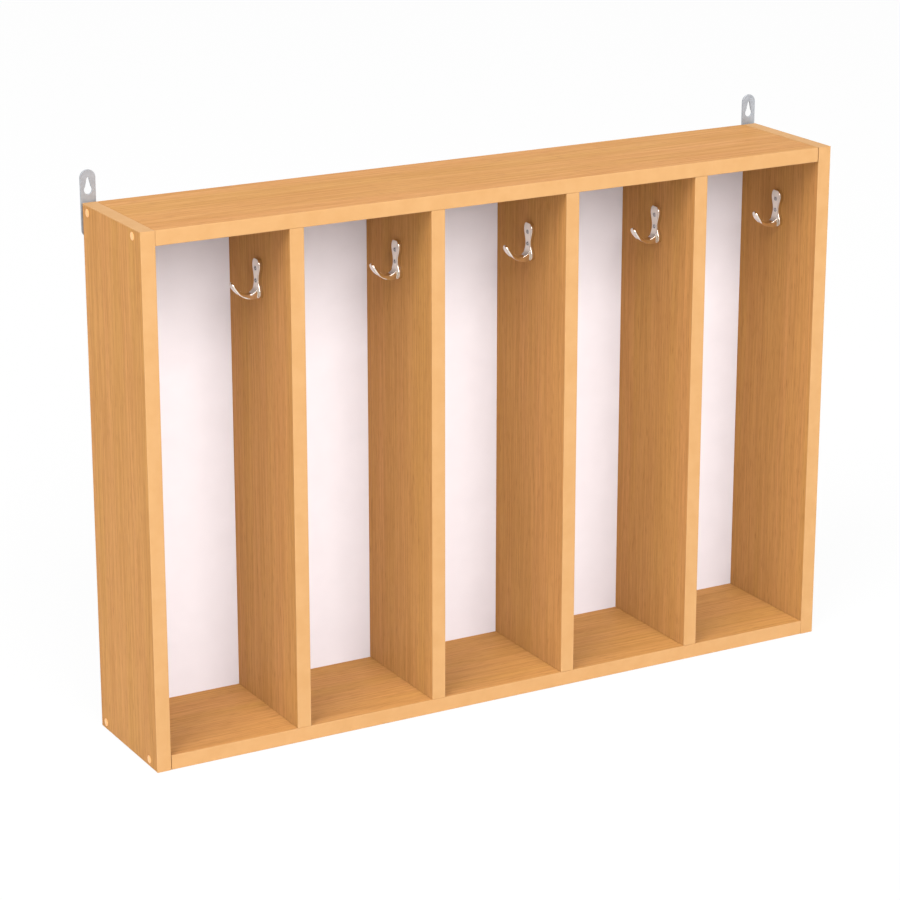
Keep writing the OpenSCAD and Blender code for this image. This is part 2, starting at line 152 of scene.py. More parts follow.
world = bpy.data.worlds.new("light_tent")
world.use_nodes = True
scene.world = world
tree = world.node_tree
tree.nodes.clear()
sky = tree.nodes.new("ShaderNodeBackground")
sky.inputs["Color"].default_value = (1.0, 1.0, 1.0, 1.0)
ambient_to_white = add_math(tree, "MULTIPLY", seen_directly(tree), 1.0 - AMBIENT)
tree.links.new(add_math(tree, "ADD", ambient_to_white, AMBIENT), sky.inputs["Strength"])
tree.links.new(sky.outputs["Background"], tree.nodes.new("ShaderNodeOutputWorld").inputs["Surface"])
print("floor", FLOOR_SIZE, "m wide, ambient light", AMBIENT)

# %% [markdown]
# ## The lamps
# On top of the even light stand three large soft lamps. The one in front and above makes the front
# edges the brightest, reaches the white back and leaves the bays darker under the top. One high at
# the left lights the side panel and the front part of the bays' walls, and one behind and above
# lights the rear. Their size, not their strength, keeps the shadows soft, and they stand far away,
# so that the foot of the rack is lit as strongly as its head. A lamp is easiest to place by the
# direction in which it is seen from the rack: so many degrees round from the front, and so many up.

# %% Soft lamps
LAMP_DISTANCE = 11.25
rack_middle = Vector((0.0, 0.0, 0.3))


def soft_lamp(name, round_from_front, up, size, power):
    """A square lamp, size in metres and power in watts, that looks at the middle of the rack."""
    turn = math.radians(round_from_front)
    rise = math.radians(up)
    away = Vector((math.sin(turn) * math.cos(rise), -math.cos(turn) * math.cos(rise), math.sin(rise)))
    data = bpy.data.lights.new(name, "AREA")
    data.shape = "SQUARE"
    data.size = size
    data.energy = power
    lamp = bpy.data.objects.new(name, data)
    lamp.location = rack_middle + away * LAMP_DISTANCE
    lamp.rotation_euler = (-away).to_track_quat("-Z", "Y").to_euler()
    scene.collection.objects.link(lamp)
    return lamp


lamps = [
    soft_lamp("front_lamp", round_from_front=-4, up=34, size=7.5, power=1056.0),
    soft_lamp("left_lamp", round_from_front=-60, up=46, size=6.0, power=886.0),
    soft_lamp("rear_lamp", round_from_front=165, up=55, size=6.0, power=218.0),
]
print("lamps:", [(lamp.name, lamp.data.energy) for lamp in lamps])

# %% [markdown]
# ## Patterns that several finishes share
# Wood grain and a soft unevenness turn up in more than one material, so each is a node group that
# is built once. A group only puts out masks and heights; every material mixes its own colours with
# them. Grain is noise that is squeezed across the fibres and stretched along them. Three scales
# are needed: broad bands, streaks of a few millimetres and short dark pores. A slow noise pushes
# the pattern aside a little, because straight lines would look printed by a ruler.

# %% More helpers for node trees
def new_group(name, inputs, outputs):
    group = bpy.data.node_groups.new(name, "ShaderNodeTree")
    for label, kind in inputs:
        group.interface.new_socket(label, in_out="INPUT", socket_type=kind)
    for label in outputs:
        group.interface.new_socket(label, in_out="OUTPUT", socket_type="NodeSocketFloat")
    return group, group.nodes.new("NodeGroupInput"), group.nodes.new("NodeGroupOutput")


def vector_math(tree, operation, first, second):
    node = tree.nodes.new("ShaderNodeVectorMath")
    node.operation = operation
    feed(tree, first, node.inputs[0])
    feed(tree, second, node.inputs[1])
    return node.outputs["Vector"]


def add_noise(tree, vector, scale, detail):
    node = tree.nodes.new("ShaderNodeTexNoise")
    feed(tree, vector, node.inputs["Vector"])
    feed(tree, scale, node.inputs["Scale"])
    node.inputs["Detail"].default_value = detail
    return node


def remap(tree, value, low, high, to_low=0.0, to_high=1.0):
    """Stretch the part of a mask between low and high to the new ends."""
    node = tree.nodes.new("ShaderNodeMapRange")
    feed(tree, value, node.inputs["Value"])
    node.inputs["From Min"].default_value = low
    node.inputs["From Max"].default_value = high
    node.inputs["To Min"].default_value = to_low
    node.inputs["To Max"].default_value = to_high
    return node.outputs["Result"]


# %% Grain and unevenness groups
SWAY_SCALE = 6.0
SWAY_REACH = 6 * MM
STREAK_RISE = 0.3
FINE_TO_COARSE = 14.0

grain_group, start, end = new_group(
    "beech_grain", [("Vector", "NodeSocketVector")], ["Band", "Streak", "Pore", "Height"]
)
sway = add_noise(grain_group, start.outputs["Vector"], SWAY_SCALE, 1.0).outputs["Color"]
sway = vector_math(grain_group, "SUBTRACT", sway, (0.5, 0.5, 0.5))
sway = vector_math(grain_group, "MULTIPLY", sway, (SWAY_REACH, SWAY_REACH, 0.0))
fibres = vector_math(grain_group, "ADD", start.outputs["Vector"], sway)
grain_masks = {}
for label, squeeze, detail, low, high in (
    ("Band", (34.0, 34.0, 1.6), 2.0, 0.32, 0.68),
    ("Streak", (380.0, 380.0, 7.0), 2.0, 0.36, 0.64),
    ("Pore", (900.0, 900.0, 60.0), 1.0, 0.56, 0.74),
):
    stretched = vector_math(grain_group, "MULTIPLY", fibres, squeeze)
    pattern = add_noise(grain_group, stretched, 1.0, detail).outputs["Fac"]
    grain_masks[label] = remap(grain_group, pattern, low, high)
    feed(grain_group, grain_masks[label], end.inputs[label])
raised = add_math(grain_group, "MULTIPLY", grain_masks["Streak"], STREAK_RISE)
feed(grain_group, add_math(grain_group, "SUBTRACT", raised, grain_masks["Pore"]), end.inputs["Height"])

uneven_group, start, end = new_group(
    "uneven_surface", [("Vector", "NodeSocketVector"), ("Scale", "NodeSocketFloat")], ["Cloud", "Fine"]
)
clouds = add_noise(uneven_group, start.outputs["Vector"], start.outputs["Scale"], 2.0)
feed(uneven_group, remap(uneven_group, clouds.outputs["Fac"], 0.3, 0.7), end.inputs["Cloud"])
fine_scale = add_math(uneven_group, "MULTIPLY", start.outputs["Scale"], FINE_TO_COARSE)
specks = add_noise(uneven_group, start.outputs["Vector"], fine_scale, 1.0)
feed(uneven_group, remap(uneven_group, specks.outputs["Fac"], 0.3, 0.7), end.inputs["Fine"])
print("groups:", [group.name for group in (grain_group, uneven_group)])

# %% [markdown]
# ## Beech-look laminate
# The boards are chipboard covered with a printed beech decor under a satin lacquer. The grain runs
# along each board: upright on sides and dividers, sideways on the top and bottom. One function
# makes both by turning the pattern with a Mapping node. A photograph of wood could be wrapped on
# the boards instead, but noise has no seams and stays sharp at any distance. Light that bounces
# from wall to wall in a narrow bay turns more orange each time, and the white back with it. The
# photograph shows hardly any of that, so rays that come from a bounce meet a greyer wood.

# %% Laminate finishes
def new_finish(name, **settings):
    """A material with its Principled shader, whose plain settings are written on the sockets."""
    finish = bpy.data.materials.new(name)
    finish.use_nodes = True
    shader = finish.node_tree.nodes["Principled BSDF"]
    for label, value in settings.items():
        shader.inputs[label.replace("_", " ").title().replace("Ior", "IOR")].default_value = value
    return finish, finish.node_tree, shader.inputs


def place_group(tree, group, vector, **values):
    node = tree.nodes.new("ShaderNodeGroup")
    node.node_tree = group
    feed(tree, vector, node.inputs["Vector"])
    for label, value in values.items():
        node.inputs[label.title()].default_value = value
    return node.outputs


def object_space(tree, turn=(0.0, 0.0, 0.0)):
    """Object coordinates, turned so that the pattern's own z axis lies along the board."""
    coordinates = tree.nodes.new("ShaderNodeTexCoord").outputs["Object"]
    mapping = tree.nodes.new("ShaderNodeMapping")
    tree.links.new(coordinates, mapping.inputs["Vector"])
    mapping.inputs["Rotation"].default_value = turn
    return mapping.outputs["Vector"]


def mix_colours(tree, mask, first, second):
    """Mix two colours. The numbers pick the colour sockets among those of the same name."""
    node = tree.nodes.new("ShaderNodeMix")
    node.data_type = "RGBA"
    feed(tree, mask, node.inputs[0])
    feed(tree, first, node.inputs[6])
    feed(tree, second, node.inputs[7])
    return node.outputs[2]


def add_relief(tree, shader, height, depth, strength):
    bump = tree.nodes.new("ShaderNodeBump")
    bump.inputs["Strength"].default_value = strength
    bump.inputs["Distance"].default_value = depth
    tree.links.new(height, bump.inputs["Height"])
    tree.links.new(bump.outputs["Normal"], shader["Normal"])


SATIN = (0.42, 0.54)
STREAK_SHARE = 0.5
STREAK_TONE = srgb(174, 119, 68)
PORE_SHARE = 0.45
PORE_TONE = srgb(149, 93, 49)
BOUNCE_SHARE = 0.85
BOUNCE_TONE = srgb(194, 188, 189)


def beech_finish(name, turn, light, dark):
    finish, tree, shader = new_finish(name, specular_ior_level=0.04)
    grain = place_group(tree, grain_group, object_space(tree, turn))
    tone = mix_colours(tree, grain["Band"], dark, light)
    streaks = add_math(tree, "MULTIPLY", grain["Streak"], STREAK_SHARE)
    tone = mix_colours(tree, streaks, tone, STREAK_TONE)
    pores = add_math(tree, "MULTIPLY", grain["Pore"], PORE_SHARE)
    tone = mix_colours(tree, pores, tone, PORE_TONE)
    bounced = tree.nodes.new("ShaderNodeLightPath").outputs["Is Diffuse Ray"]
    greyer = add_math(tree, "MULTIPLY", bounced, BOUNCE_SHARE)
    tree.links.new(mix_colours(tree, greyer, tone, BOUNCE_TONE), shader["Base Color"])
    tree.links.new(remap(tree, grain["Streak"], 0.0, 1.0, *SATIN), shader["Roughness"])
    add_relief(tree, shader, grain["Height"], depth=0.08 * MM, strength=0.25)
    return finish


UPRIGHT = (0.0, 0.0, 0.0)
SIDEWAYS = (0.0, math.radians(90), 0.0)
LAMINATE_TONES = (srgb(205, 147, 87), srgb(199, 146, 79))
beech_upright = beech_finish("beech_upright", UPRIGHT, *LAMINATE_TONES)
beech_sideways = beech_finish("beech_sideways", SIDEWAYS, *LAMINATE_TONES)
dowel_wood = beech_finish("dowel_wood", UPRIGHT, srgb(226, 190, 140), srgb(208, 166, 112))
print("wood finishes:", beech_upright.name, beech_sideways.name, dowel_wood.name)

# %% [markdown]
# ## Edging, cut chipboard and hardboard
# The edging is a plain plastic strip, a shade paler than the laminate and almost without pattern:
# only a faint cloud and a fine moulded texture. Where a board has no strip, at the back, its chips
# show, which a Voronoi pattern gives as small flat cells. The back panel is painted white in front,
# with a faint pink that is a painted reflection of the orange walls, and shows the brown felted
# fibres of hardboard behind.

# %% Edging, chipboard and hardboard finishes
def clouded_finish(name, scale, light, dark, rough, relief, **settings):
    """A plain surface that is never quite even in colour and gloss. The relief is in mm."""
    finish, tree, shader = new_finish(name, **settings)
    uneven = place_group(tree, uneven_group, object_space(tree), scale=scale)
    tree.links.new(mix_colours(tree, uneven["Cloud"], dark, light), shader["Base Color"])
    tree.links.new(remap(tree, uneven["Fine"], 0.0, 1.0, *rough), shader["Roughness"])
    add_relief(tree, shader, uneven["Fine"], depth=relief * MM, strength=0.3)
    return finish


beech_edging = clouded_finish(
    "beech_edging",
    60.0,
    srgb(202, 156, 105),
    srgb(198, 151, 99),
    SATIN,
    0.03,
    specular_ior_level=0.05,
)
cap_plastic = clouded_finish(
    "cap_plastic",
    120.0,
    srgb(248, 188, 127),
    srgb(244, 182, 120),
    (0.28, 0.36),
    0.03,
    specular_tint=srgb(255, 196, 130),
)
# The faint pink in this white is painted reflection: it stands in for the orange light that the wood
# walls bounce onto the back.
white_paint_with_painted_bounce = clouded_finish(
    "white_paint_with_painted_bounce",
    30.0,
    srgb(244, 235, 236),
    srgb(241, 232, 233),
    (0.4, 0.52),
    0.04,
    specular_ior_level=0.2,
)
hardboard_felt = clouded_finish(
    "hardboard_felt", 90.0, srgb(158, 112, 70), srgb(128, 86, 50), (0.75, 0.95), 0.25
)

CHIPS_PER_METRE = 420.0
chipboard_cut, tree, shader = new_finish("chipboard_cut", specular_ior_level=0.2)
chips = tree.nodes.new("ShaderNodeTexVoronoi")
chip_grid = vector_math(tree, "MULTIPLY", object_space(tree), (CHIPS_PER_METRE,) * 3)
tree.links.new(chip_grid, chips.inputs["Vector"])
chips.inputs["Scale"].default_value = 1.0
chip_shade = tree.nodes.new("ShaderNodeSeparateColor")
tree.links.new(chips.outputs["Color"], chip_shade.inputs["Color"])
chip_tone = mix_colours(tree, chip_shade.outputs["Red"], srgb(176, 134, 88), srgb(224, 190, 144))
tree.links.new(chip_tone, shader["Base Color"])
tree.links.new(remap(tree, chip_shade.outputs["Green"], 0.0, 1.0, 0.75, 0.95), shader["Roughness"])
add_relief(tree, shader, chips.outputs["Distance"], depth=0.3 * MM, strength=0.5)
board_finishes = (beech_edging, cap_plastic, white_paint_with_painted_bounce, hardboard_felt, chipboard_cut)
print("board finishes:", [finish.name for finish in board_finishes])

# %% [markdown]
# ## Metals
# The hooks are polished chrome: nearly a mirror, with a thin film of handling that softens it in
# places. The hanger plates are zinc plated, a duller grey with a cloudy bloom. Screws and nails
# are plain bright steel; the crosses in the screw heads are dull, and their dark colour is painted
# shade. All of them share the uneven group and differ in colour and roughness.

# %% Metal finishes
hook_chrome = clouded_finish(
    "hook_chrome", 70.0, srgb(235, 228, 217), srgb(225, 218, 208), (0.05, 0.12), 0.0, metallic=1.0
)
hanger_zinc = clouded_finish(
    "hanger_zinc", 160.0, srgb(173, 176, 181), srgb(161, 164, 169), (0.45, 0.6), 0.02, metallic=0.5
)
screw_steel = clouded_finish(
    "screw_steel", 300.0, srgb(214, 213, 212), srgb(196, 195, 195), (0.16, 0.3), 0.01, metallic=1.0
)
# Dark steel for the faces of the cross recess: painted shade, standing in for the shadow inside it.
recess_painted_shade = clouded_finish(
    "recess_painted_shade", 300.0, srgb(62, 60, 61), srgb(48, 46, 47), (0.5, 0.65), 0.01, metallic=1.0
)
nail_steel = clouded_finish(
    "nail_steel", 300.0, srgb(190, 190, 192), srgb(160, 161, 165), (0.3, 0.5), 0.02, metallic=1.0
)
metals = (hook_chrome, hanger_zinc, screw_steel, recess_painted_shade, nail_steel)
print("metals:", [finish.name for finish in metals])

# %% [markdown]
# ## From a bmesh to a piece
# Every piece below ends in the same way: its normals are made to point outwards, it becomes an
# object at the origin, rides on the frame's one body and hides the CAD node that it stands for.
# Most pieces are boards, so one helper fills a node's box. At some ends it stops a hair short of
# the next board, because these joints show as dark lines in the photograph, the one at the right
# of the top panel most of all.

# %% Helper that finishes a piece
def stand_for(node, name, shape, finishes, smooth_angle=None):
    """Make a bmesh the piece that takes the place of one CAD node."""
    bmesh.ops.recalc_face_normals(shape, faces=shape.faces)
    mesh = bpy.data.meshes.new(name)
    shape.to_mesh(mesh)
    shape.free()
    if smooth_angle is not None:
        mesh.shade_smooth()
        mesh.set_sharp_from_angle(angle=math.radians(smooth_angle))
    for finish in finishes:
        mesh.materials.append(finish)
    piece = bpy.data.objects.new(name, mesh)
    scene.collection.objects.link(piece)
    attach(piece, "root")
    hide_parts(node)
    print(name, "faces:", len(mesh.polygons))
    return piece


# Gaps in mm at the low and the high end of a board, along x, y and z.
NO_GAPS = ((0, 0, 0), (0, 0, 0))
JOINT_GAPS = {
    "top": ((0, 0, 0), (1.3, 0, 0)),
    "bottom": ((0.55, 0, 0), (0.5, 0, 0)),
    "divider": ((0, 0, 0.35), (0, 0, 0)),
}


def filled_box(node):
    """A bmesh box that fills the box of a CAD node, less the hairline gaps at a board's ends."""
    low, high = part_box(node)
    low_gap, high_gap = JOINT_GAPS.get(node.split("_")[0], NO_GAPS)
    low = low + Vector(low_gap) * MM
    high = high - Vector(high_gap) * MM
    shape = bmesh.new()
    bmesh.ops.create_cube(shape, size=1.0)
    bmesh.ops.scale(shape, vec=high - low, verts=shape.verts)
    bmesh.ops.translate(shape, vec=(low + high) / 2, verts=shape.verts)
    return shape


def ease_edges(shape, edges, radius, segments):
    """Round the given edges over."""
    bmesh.ops.bevel(
        shape,
        geom=edges,
        offset=radius,
        offset_type="OFFSET",
        segments=segments,
        profile=0.5,
        affect="EDGES",
        material=-1,
    )


# %% [markdown]
# ## The boards
# Sides, top, bottom and dividers are sawn panels. A saw and a laminate press leave a very fine
# broken edge, so each box gets a small bevel: without it the joints between two boards would
# disappear in the render. The face that looks back gets the chipboard finish, because only the
# visible edges of the real boards carry a strip.

# %% Boards
BOARD_EASE = 0.2 * MM
SQUARE_ON = 0.9
UPRIGHT_BOARDS = ["left_side_panel", "right_side_panel"] + [f"divider_{i}" for i in range(1, 5)]
LEVEL_BOARDS = ["top_panel", "bottom_panel"]
LAMINATE_FACE = 0
CUT_FACE = 1

for node in UPRIGHT_BOARDS + LEVEL_BOARDS:
    board = filled_box(node)
    ease_edges(board, board.edges[:], BOARD_EASE, segments=2)
    board.normal_update()
    for face in board.faces:
        face.material_index = CUT_FACE if face.normal.y > SQUARE_ON else LAMINATE_FACE
    laminate = beech_upright if node in UPRIGHT_BOARDS else beech_sideways
    stand_for(node, node + "_board", board, [laminate, chipboard_cut])

# %% [markdown]
# ## The edging strips
# A strip is glued to the edge and its two long corners are scraped round. The operator for that is
# bevel, given only the two long edges of the outer face. Which face is the outer one depends on
# the strip: the front strips look along minus y, the ones on the side panels' ends up or down.

# %% Edging strips
EDGING_ROUND = 0.7 * MM
LONG_SHARE = 0.9
FRONT = Vector((0, -1, 0))
UP = Vector((0, 0, 1))
edging_sides = {node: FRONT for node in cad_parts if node.endswith("_edging")}
for side in ("left", "right"):
    edging_sides[f"{side}_side_top_edging"] = UP
    edging_sides[f"{side}_side_bottom_edging"] = -UP

for node, outward in sorted(edging_sides.items()):
    strip = filled_box(node)
    strip.normal_update()
    outer_face = max(strip.faces, key=lambda face: face.normal.dot(outward))
    lengths = [edge.calc_length() for edge in outer_face.edges]
    long_from = LONG_SHARE * max(lengths)
    long_edges = [edge for edge in outer_face.edges if edge.calc_length() > long_from]
    ease_edges(strip, long_edges, EDGING_ROUND, segments=5)
    stand_for(node, node + "_strip", strip, [beech_edging])

# %% [markdown]
# ## The back panel
# A thin sheet of hardboard closes the back. It is one box with broken edges and two finishes:
# white paint on the face that looks into the bays, felted fibre on the rear and on the sawn rim.

# %% Back panel
SHEET_EASE = 0.35 * MM
PAINTED_FACE = 0
FELT_FACE = 1
sheet = filled_box("back_panel")
ease_edges(sheet, sheet.edges[:], SHEET_EASE, segments=2)
sheet.normal_update()
for face in sheet.faces:
    face.material_index = PAINTED_FACE if face.normal.dot(FRONT) > SQUARE_ON else FELT_FACE
stand_for("back_panel", "back_panel_sheet", sheet, [white_paint_with_painted_bounce, hardboard_felt])

# %% [markdown]
# ## The chrome hooks
# Each hook is a small casting: a flat plate with a round head, a waist and a wider foot, and one
# horn that grows out of the foot, dips and rises to a leaf-shaped tip. Polished castings have no
# sharp edges, so a coarse cage under a Subdivision Surface suits them best: a grid gives the plate,
# its back is extruded to the wall, and the middle faces of the foot are extruded section by section
# along the horn's arc. The first sections are tall, which makes the saddle between plate and horn.
# Creased edges keep the plate's back flat on the board.

# %% Hook cage
# Rows of the plate in mm: drop from its top, half width, height over the wall.
PLATE_ROWS = (
    (0.0, 4.1, 4.0),
    (0.7, 5.5, 4.5),
    (3.2, 7.8, 4.65),
    (9.0, 8.75, 4.65),
    (15.0, 6.5, 4.65),
    (21.0, 4.7, 4.65),
    (26.5, 5.5, 4.65),
    (29.5, 6.9, 4.65),
    (34.0, 8.7, 4.65),
    (38.2, 8.8, 4.65),
    (40.6, 6.9, 4.5),
    (41.3, 4.6, 4.0),
)
# Columns of the plate: share of the half width, height over the wall in mm. The lower height counts.
PLATE_COLUMNS = (
    (-1.0, 4.0),
    (-0.93, 4.5),
    (-0.66, 4.65),
    (-0.4, 4.65),
    (0.4, 4.65),
    (0.66, 4.65),
    (0.93, 4.5),
    (1.0, 4.0),
)
# Rows and columns from which the horn grows, with their places on its section from -1 to 1.
ROOT_ROWS = {6: 1.0, 7: 0.82, 8: 0.0, 9: -1.0}
ROOT_COLUMNS = {2: -1.0, 3: -0.88, 4: 0.88, 5: 1.0}
# The horn's arc in mm, and its sections: degrees along the arc, half width, mm above and below it.
HORN_PIVOT = (-12.52, 7.0)
HORN_RADIUS = 27.78
HORN_SECTIONS = (
    (-4.4, 5.2, 9.0, 1.2),
    (-1.5, 5.0, 7.4, 2.3),
    (6.0, 4.7, 4.9, 2.3),
    (13.0, 4.4, 3.2, 2.2),
    (20.0, 4.2, 2.4, 2.2),
    (28.0, 4.1, 2.1, 2.1),
    (37.0, 4.6, 1.9, 1.9),
    (46.8, 5.3, 1.8, 1.8),
    (56.5, 5.4, 1.7, 1.7),
    (64.0, 4.6, 1.5, 1.5),
    (68.6, 3.0, 1.1, 1.1),
    (70.2, 1.2, 0.6, 0.6),
)
HORN_OVAL = 0.18
FULL_OVAL_FROM = 30
ON_WALL = 0.1 * MM


def plate_grid():
    """The plate's front as a grid: x across, y up from the plate's top, z out from the wall."""
    cage = bmesh.new()
    rows = len(PLATE_ROWS) - 1
    columns = len(PLATE_COLUMNS) - 1
    bmesh.ops.create_grid(cage, x_segments=columns, y_segments=rows, size=1.0)
    spots = {}
    for vert in cage.verts:
        row = round((1 - vert.co.y) / 2 * rows)
        column = round((1 + vert.co.x) / 2 * columns)
        drop, half_width, row_rise = PLATE_ROWS[row]
        share, column_rise = PLATE_COLUMNS[column]
        vert.co = Vector((share * half_width, -drop, min(row_rise, column_rise))) * MM
        spots[vert] = (row, column)
    return cage, spots


def grow_horn(cage, faces, spots):
    """Extrude the root faces along the arc, one section at a time."""
    section = {spots[vert]: vert for face in faces for vert in face.verts}
    pivot_y, pivot_z = HORN_PIVOT
    for degrees, half_width, upper, lower in HORN_SECTIONS:
        old_places = {spot: vert.co.copy() for spot, vert in section.items()}
        grown = bmesh.ops.extrude_face_region(cage, geom=faces)["geom"]
        bmesh.ops.delete(cage, geom=faces, context="FACES")
        faces = [item for item in grown if isinstance(item, bmesh.types.BMFace)]
        fresh = [item for item in grown if isinstance(item, bmesh.types.BMVert)]
        for vert in fresh:
            spot = min(old_places, key=lambda place: (old_places[place] - vert.co).length)
            section[spot] = vert
        turn = math.radians(degrees)
        lean = max(0.0, turn)
        oval = HORN_OVAL * min(1.0, max(0.0, degrees / FULL_OVAL_FROM))
        for (row, column), vert in section.items():
            level = ROOT_ROWS[row]
            across = ROOT_COLUMNS[column] * half_width * (1 - oval * abs(level))
            lift = level * (upper if level > 0 else lower)
            up = pivot_y - HORN_RADIUS * math.cos(turn) + lift * math.cos(lean)
            out = pivot_z + HORN_RADIUS * math.sin(turn) - lift * math.sin(lean)
            vert.co = Vector((across, up, out)) * MM


def hook_cage():
    """The whole cage of a hook, with its plate's back on the plane z = 0."""
    cage, spots = plate_grid()
    root_spots = {(row, column) for row in ROOT_ROWS for column in ROOT_COLUMNS}
    root = [face for face in cage.faces if all(spots[vert] in root_spots for vert in face.verts)]
    back = bmesh.ops.extrude_face_region(cage, geom=cage.faces[:])["geom"]
    for vert in (item for item in back if isinstance(item, bmesh.types.BMVert)):
        vert.co.z = 0.0
    crease = cage.edges.layers.float.new("crease_edge")
    for edge in cage.edges:
        on_wall = all(vert.co.z < ON_WALL for vert in edge.verts)
        leaves_wall = any(vert.co.z > ON_WALL for face in edge.link_faces for vert in face.verts)
        edge[crease] = 1.0 if on_wall and leaves_wall else 0.0
    grow_horn(cage, root, spots)
    return cage


# %% Hooks
HOOK_SMOOTHING = 3
ALL_SMOOTH = 180
HOOKS = [f"hook_{i}" for i in range(1, 6)]
hook_places = {}
for node in HOOKS:
    low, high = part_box(node)
    middle_y = (low.y + high.y) / 2
    wall_x = high.x
    # Across the plate runs minus y, up stays up, and out from the wall runs minus x.
    hook_places[node] = Matrix(
        ((0, 0, -1, wall_x), (-1, 0, 0, middle_y), (0, 1, 0, high.z), (0, 0, 0, 1))
    )
    cage = hook_cage()
    bmesh.ops.transform(cage, matrix=hook_places[node], verts=cage.verts)
    hook = stand_for(node, node + "_casting", cage, [hook_chrome], ALL_SMOOTH)
    surface = hook.modifiers.new("polished_surface", "SUBSURF")
    surface.levels = HOOK_SMOOTHING
    surface.render_levels = HOOK_SMOOTHING

# %% [markdown]
# ## Screws with a cross recess
# Two countersunk screws hold each hook and each hanger plate. The recess shows as a small dark
# cross, so it is real geometry: the middle of a three-by-three grid without its corners is the
# cross, a bridge joins it to the round rim, and an extrusion sinks it into the head, where its
# faces take a dark steel colour as painted shade. The heads in the hooks are raised a little,
# which gives each a dark rim and a bright middle. One screw is modelled upright at the origin,
# and copies of it are set at every place.

# %% Screw shape
# The cross in shares of the head's radius, and the share of its width that is left at its bottom.
CROSS_ARM = 0.6
CROSS_SLOT = 0.22
CROSS_DEPTH = 0.6
CROSS_TAPER = 0.7
RIM_SEGMENTS = 24
RECESS_FACE = 1
MERGE_WITHIN = 0.001 * MM


def cross_screw(head_radius, shank_radius, length, crown):
    """A countersunk screw whose rim lies in the plane z = 0 and whose point looks down."""
    arm = CROSS_ARM * head_radius
    slot = CROSS_SLOT * head_radius
    screw = bmesh.new()
    bmesh.ops.create_grid(screw, x_segments=3, y_segments=3, size=arm)
    for vert in screw.verts:
        for axis in range(2):
            if abs(vert.co[axis]) < 0.5 * arm:
                vert.co[axis] = math.copysign(slot, vert.co[axis])
    corners = [face for face in screw.faces if min(map(abs, face.calc_center_median().xy)) > slot]
    bmesh.ops.delete(screw, geom=corners, context="FACES")
    cross = screw.faces[:]
    outline = [edge for edge in screw.edges if edge.is_boundary]
    rim = bmesh.ops.create_circle(screw, segments=RIM_SEGMENTS // 2, radius=head_radius)["verts"]
    rim_edges = [edge for edge in screw.edges if all(vert in rim for vert in edge.verts)]
    bmesh.ops.bridge_loops(screw, edges=outline + rim_edges)
    sunk = bmesh.ops.extrude_face_region(screw, geom=cross)["geom"]
    bmesh.ops.delete(screw, geom=cross, context="FACES")
    sunk = [item for item in sunk if isinstance(item, bmesh.types.BMVert)]
    # The sunk faces take the dark second finish, which is painted shade in the recess.
    for face in {face for vert in sunk for face in vert.link_faces}:
        face.material_index = RECESS_FACE
    bmesh.ops.scale(screw, vec=(CROSS_TAPER, CROSS_TAPER, 1.0), verts=sunk)
    bmesh.ops.translate(screw, vec=(0, 0, -CROSS_DEPTH * head_radius), verts=sunk)
    rim_edges = [edge for edge in screw.edges if edge.is_boundary]
    bmesh.ops.subdivide_edges(screw, edges=rim_edges, cuts=1)
    rim_edges = [edge for edge in screw.edges if edge.is_boundary]
    for vert in {vert for edge in rim_edges for vert in edge.verts}:
        vert.co *= head_radius / vert.co.length
    for vert in screw.verts:
        vert.co.z += crown * (1 - vert.co.xy.length_squared / head_radius**2)
    cone = head_radius - shank_radius
    tip = 2 * shank_radius
    for radius, drop in ((shank_radius, cone), (shank_radius, length - tip), (0.0, length)):
        grown = bmesh.ops.extrude_edge_only(screw, edges=rim_edges)["geom"]
        rim_edges = [item for item in grown if isinstance(item, bmesh.types.BMEdge)]
        for vert in (item for item in grown if isinstance(item, bmesh.types.BMVert)):
            flat = Vector((vert.co.x, vert.co.y, 0.0)).normalized() * radius
            vert.co = flat - Vector((0, 0, drop))
    bmesh.ops.remove_doubles(screw, verts=screw.verts, dist=MERGE_WITHIN)
    return screw


def copies(shape, places):
    """One bmesh that holds the shape once at every place."""
    joined = bmesh.new()
    scratch = bpy.data.meshes.new("scratch")
    for place in places:
        shape.to_mesh(scratch)
        scratch.transform(place)
        joined.from_mesh(scratch)
    bpy.data.meshes.remove(scratch)
    shape.free()
    return joined


def facing(direction, point):
    """The place of a shape whose z axis is turned to look along a direction."""
    return Matrix.Translation(point) @ Vector(direction).to_track_quat("Z", "Y").to_matrix().to_4x4()


# %% Screws in the hooks and hanger plates
HOOK_SCREW_DROPS = (10 * MM, 23 * MM)
HOOK_FACE = 4.6 * MM
SCREW_FINISHES = [screw_steel, recess_painted_shade]
SCREW_SMOOTHING = 40
hook_screw_places = []
for place in hook_places.values():
    for drop in HOOK_SCREW_DROPS:
        head = place @ Vector((0, -drop, HOOK_FACE))
        hook_screw_places.append(facing((-1, 0, 0), head))
hook_screw = cross_screw(
    head_radius=3.2 * MM, shank_radius=1.75 * MM, length=16 * MM, crown=0.9 * MM
)
hook_screws = copies(hook_screw, hook_screw_places)
stand_for(
    "hook_screws", "hook_screw_set", hook_screws, SCREW_FINISHES, SCREW_SMOOTHING
)

board_middle = (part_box("top_panel")[0].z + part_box("top_panel")[1].z) / 2
HANGER_SCREW_DROPS = (7 * MM, 21 * MM)
HANGERS = ("left_hanger_plate", "right_hanger_plate")
hanger_screw_places = []
for node in HANGERS:
    low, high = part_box(node)
    for drop in HANGER_SCREW_DROPS:
        head = Vector(((low.x + high.x) / 2, high.y, board_middle - drop))
        hanger_screw_places.append(facing((0, 1, 0), head))
hanger_screw = cross_screw(
    head_radius=3.4 * MM, shank_radius=1.75 * MM, length=25 * MM, crown=0.0
)
hanger_screws = copies(hanger_screw, hanger_screw_places)
stand_for(
    "hanger_screws", "hanger_screw_set", hanger_screws, SCREW_FINISHES, SCREW_SMOOTHING
)

